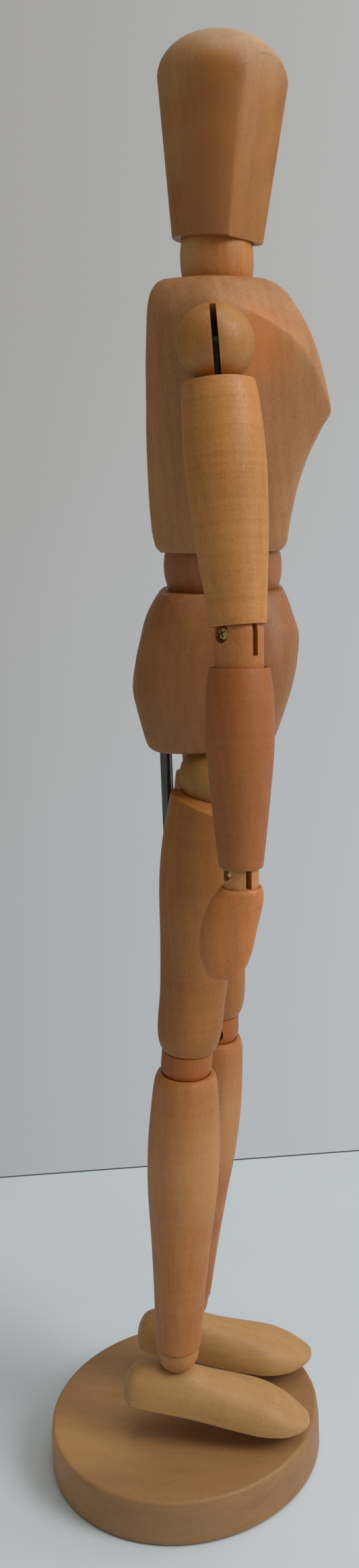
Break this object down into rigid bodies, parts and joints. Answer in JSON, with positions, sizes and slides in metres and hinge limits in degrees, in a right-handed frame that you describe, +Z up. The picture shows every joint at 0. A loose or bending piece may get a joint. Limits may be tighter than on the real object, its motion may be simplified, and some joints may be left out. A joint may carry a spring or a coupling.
{
  "type": "artist mannequin",
  "caption": "Jointed wooden artist's figure of a woman on a steel rod and round base, with ball joints, slotted limb joints, brass screws and a featureless faceted head.",
  "frame": {"origin": "centre of the base disc's underside", "axes": "+Z up along the rod, -Y the way the figure faces, +X the figure's left"},
  "size_m": [0.1034, 0.0887, 0.3978],
  "materials": {
    "pale_wood": "satin turned beech",
    "torso_wood": "satin carved beech",
    "head_wood": "satin turned beech, darker",
    "joint_wood": "satin turned beech, darker",
    "base_wood": "satin turned beech",
    "black_steel": "dark polished",
    "bare_steel": "bare",
    "brass": "plated"
  },
  "bodies": {
    "base": {"base_disc": "base_wood"},
    "rod": {"support_rod": "black_steel"},
    "pelvis": {"pelvis_block": "torso_wood", "hip_spring_right": "bare_steel", "hip_spring_left": "bare_steel"},
    "waist_joint": {"waist_ball": "joint_wood", "waist_pin": "bare_steel"},
    "waist_link": {"waist_spring": "bare_steel"},
    "chest": {"chest_block": "torso_wood", "chest_pin": "bare_steel", "shoulder_spring": "bare_steel"},
    "neck_joint": {"neck_barrel": "head_wood", "neck_pin": "bare_steel"},
    "neck_link": {"neck_spring": "bare_steel"},
    "head": {"head_block": "head_wood", "head_pin": "bare_steel"},
    "shoulder_right": {"shoulder_ball_right": "joint_wood", "shoulder_pin_right": "bare_steel"},
    "arm_link_right": {"shoulder_tongue_right": "bare_steel"},
    "upper_arm_right": {"upper_arm_right": "pale_wood", "elbow_tongue_right": "bare_steel"},
    "forearm_right": {"elbow_bullet_right": "joint_wood", "elbow_screw_right": "brass", "forearm_right": "pale_wood", "wrist_tongue_right": "bare_steel"},
    "hand_right": {"wrist_bullet_right": "joint_wood", "wrist_screw_right": "brass", "hand_right": "pale_wood"},
    "shoulder_left": {"shoulder_ball_left": "joint_wood", "shoulder_pin_left": "bare_steel"},
    "arm_link_left": {"shoulder_tongue_left": "bare_steel"},
    "upper_arm_left": {"upper_arm_left": "pale_wood", "elbow_tongue_left": "bare_steel"},
    "forearm_left": {"elbow_bullet_left": "joint_wood", "elbow_screw_left": "brass", "forearm_left": "pale_wood", "wrist_tongue_left": "bare_steel"},
    "hand_left": {"wrist_bullet_left": "joint_wood", "wrist_screw_left": "brass", "hand_left": "pale_wood"},
    "hip_right": {"hip_ball_right": "pale_wood", "hip_pin_right": "bare_steel"},
    "thigh_right": {"hip_tongue_right": "bare_steel", "thigh_right": "pale_wood", "knee_bullet_right": "joint_wood", "knee_screw_right": "brass"},
    "shank_right": {"knee_tongue_right": "bare_steel", "shank_right": "pale_wood"},
    "ankle_right": {"ankle_ball_right": "pale_wood"},
    "foot_right": {"foot_right_block": "pale_wood"},
    "hip_left": {"hip_ball_left": "pale_wood", "hip_pin_left": "bare_steel"},
    "thigh_left": {"hip_tongue_left": "bare_steel", "thigh_left": "pale_wood", "knee_bullet_left": "joint_wood", "knee_screw_left": "brass"},
    "shank_left": {"knee_tongue_left": "bare_steel", "shank_left": "pale_wood"},
    "ankle_left": {"ankle_ball_left": "pale_wood"},
    "foot_left": {"foot_left_block": "pale_wood"}
  },
  "joints": [
    {"name": "rod_turn", "type": "hinge", "parent": "base", "child": "rod", "pos_m": [0, -0.0024, 0], "axis": [0, 0, 1], "continuous": true},
    {"name": "figure_lift", "type": "slide", "parent": "rod", "child": "pelvis", "axis": [0, 0, 1], "range_m": [0, 0.011]},
    {"name": "waist_lean", "type": "hinge", "parent": "pelvis", "child": "waist_joint", "pos_m": [0, -0.0195, 0.2695], "axis": [0, 1, 0], "range_deg": [-10, 10]},
    {"name": "waist_bend", "type": "hinge", "parent": "waist_joint", "child": "waist_link", "pos_m": [0, -0.0195, 0.2695], "axis": [1, 0, 0], "range_deg": [-12, 22]},
    {"name": "waist_twist", "type": "hinge", "parent": "waist_link", "child": "chest", "pos_m": [0, -0.0195, 0.2695], "axis": [0, 0, 1], "range_deg": [-30, 30]},
    {"name": "neck_lean", "type": "hinge", "parent": "chest", "child": "neck_joint", "pos_m": [0, -0.0204, 0.3456], "axis": [0, 1, 0], "range_deg": [-15, 15]},
    {"name": "head_nod", "type": "hinge", "parent": "neck_joint", "child": "neck_link", "pos_m": [0, -0.0204, 0.3456], "axis": [1, 0, 0], "range_deg": [-15, 20]},
    {"name": "head_turn", "type": "hinge", "parent": "neck_link", "child": "head", "pos_m": [0, -0.0204, 0.3456], "axis": [0, -0.0663, 0.9978], "range_deg": [-60, 60]},
    {"name": "shoulder_swing_right", "type": "hinge", "parent": "chest", "child": "shoulder_right", "pos_m": [-0.031, -0.0194, 0.3232], "axis": [-1, 0, 0], "range_deg": [-30, 110]},
    {"name": "shoulder_raise_right", "type": "hinge", "parent": "shoulder_right", "child": "arm_link_right", "pos_m": [-0.031, -0.0194, 0.3232], "axis": [0, 0.9986, -0.0523], "range_deg": [0, 80]},
    {"name": "arm_twist_right", "type": "hinge", "parent": "arm_link_right", "child": "upper_arm_right", "pos_m": [-0.031, -0.0194, 0.3232], "axis": [-0.1564, -0.0517, -0.9863], "range_deg": [-60, 60]},
    {"name": "elbow_bend_right", "type": "hinge", "parent": "upper_arm_right", "child": "forearm_right", "pos_m": [-0.0415, -0.02287, 0.25702], "axis": [-0.6349, 0.7703, 0.0603], "range_deg": [-8, 42]},
    {"name": "wrist_bend_right", "type": "hinge", "parent": "forearm_right", "child": "hand_right", "pos_m": [-0.04554, -0.02167, 0.19917], "axis": [-0.4141, 0.909, 0.0477], "range_deg": [-28, 28]},
    {"name": "shoulder_swing_left", "type": "hinge", "parent": "chest", "child": "shoulder_left", "pos_m": [0.031, -0.0194, 0.3232], "axis": [-1, 0, 0], "range_deg": [-30, 110]},
    {"name": "shoulder_raise_left", "type": "hinge", "parent": "shoulder_left", "child": "arm_link_left", "pos_m": [0.031, -0.0194, 0.3232], "axis": [0, -0.9986, 0.0523], "range_deg": [0, 80]},
    {"name": "arm_twist_left", "type": "hinge", "parent": "arm_link_left", "child": "upper_arm_left", "pos_m": [0.031, -0.0194, 0.3232], "axis": [-0.1564, 0.0517, 0.9863], "range_deg": [-60, 60]},
    {"name": "elbow_bend_left", "type": "hinge", "parent": "upper_arm_left", "child": "forearm_left", "pos_m": [0.0415, -0.02287, 0.25702], "axis": [-0.6349, -0.7703, -0.0603], "range_deg": [-8, 42]},
    {"name": "wrist_bend_left", "type": "hinge", "parent": "forearm_left", "child": "hand_left", "pos_m": [0.04554, -0.02167, 0.19917], "axis": [-0.4141, -0.909, -0.0477], "range_deg": [-28, 28]},
    {"name": "hip_spread_right", "type": "hinge", "parent": "pelvis", "child": "hip_right", "pos_m": [-0.014, -0.0153, 0.216], "axis": [0, 1, 0], "range_deg": [0, 20]},
    {"name": "hip_swing_right", "type": "hinge", "parent": "hip_right", "child": "thigh_right", "pos_m": [-0.014, -0.0153, 0.216], "axis": [-1, 0, 0], "range_deg": [-12, 60]},
    {"name": "knee_bend_right", "type": "hinge", "parent": "thigh_right", "child": "shank_right", "pos_m": [-0.01256, -0.00508, 0.13395], "axis": [0.9998, -0.0022, 0.0173], "range_deg": [-4, 25]},
    {"name": "ankle_turn_right", "type": "hinge", "parent": "shank_right", "child": "ankle_right", "pos_m": [-0.01256, 0.00084, 0.04244], "axis": [0, 0.0645, -0.9979], "range_deg": [-4, 30]},
    {"name": "ankle_bend_right", "type": "hinge", "parent": "ankle_right", "child": "foot_right", "pos_m": [-0.01256, 0.00084, 0.04244], "axis": [1, -0.001, -0.0001], "range_deg": [-25, 3]},
    {"name": "hip_spread_left", "type": "hinge", "parent": "pelvis", "child": "hip_left", "pos_m": [0.014, -0.0153, 0.216], "axis": [0, -1, 0], "range_deg": [0, 20]},
    {"name": "hip_swing_left", "type": "hinge", "parent": "hip_left", "child": "thigh_left", "pos_m": [0.014, -0.0153, 0.216], "axis": [-1, 0, 0], "range_deg": [-12, 60]},
    {"name": "knee_bend_left", "type": "hinge", "parent": "thigh_left", "child": "shank_left", "pos_m": [0.01256, -0.01285, 0.13335], "axis": [0.9998, 0.0005, -0.0174], "range_deg": [-10, 18]},
    {"name": "ankle_turn_left", "type": "hinge", "parent": "shank_left", "child": "ankle_left", "pos_m": [0.01256, -0.00167, 0.04233], "axis": [-0.0001, -0.1219, 0.9925], "range_deg": [-4, 30]},
    {"name": "ankle_bend_left", "type": "hinge", "parent": "ankle_left", "child": "foot_left", "pos_m": [0.01256, -0.00167, 0.04233], "axis": [1, -0.0016, -0.0001], "range_deg": [-25, 3]}
  ]
}
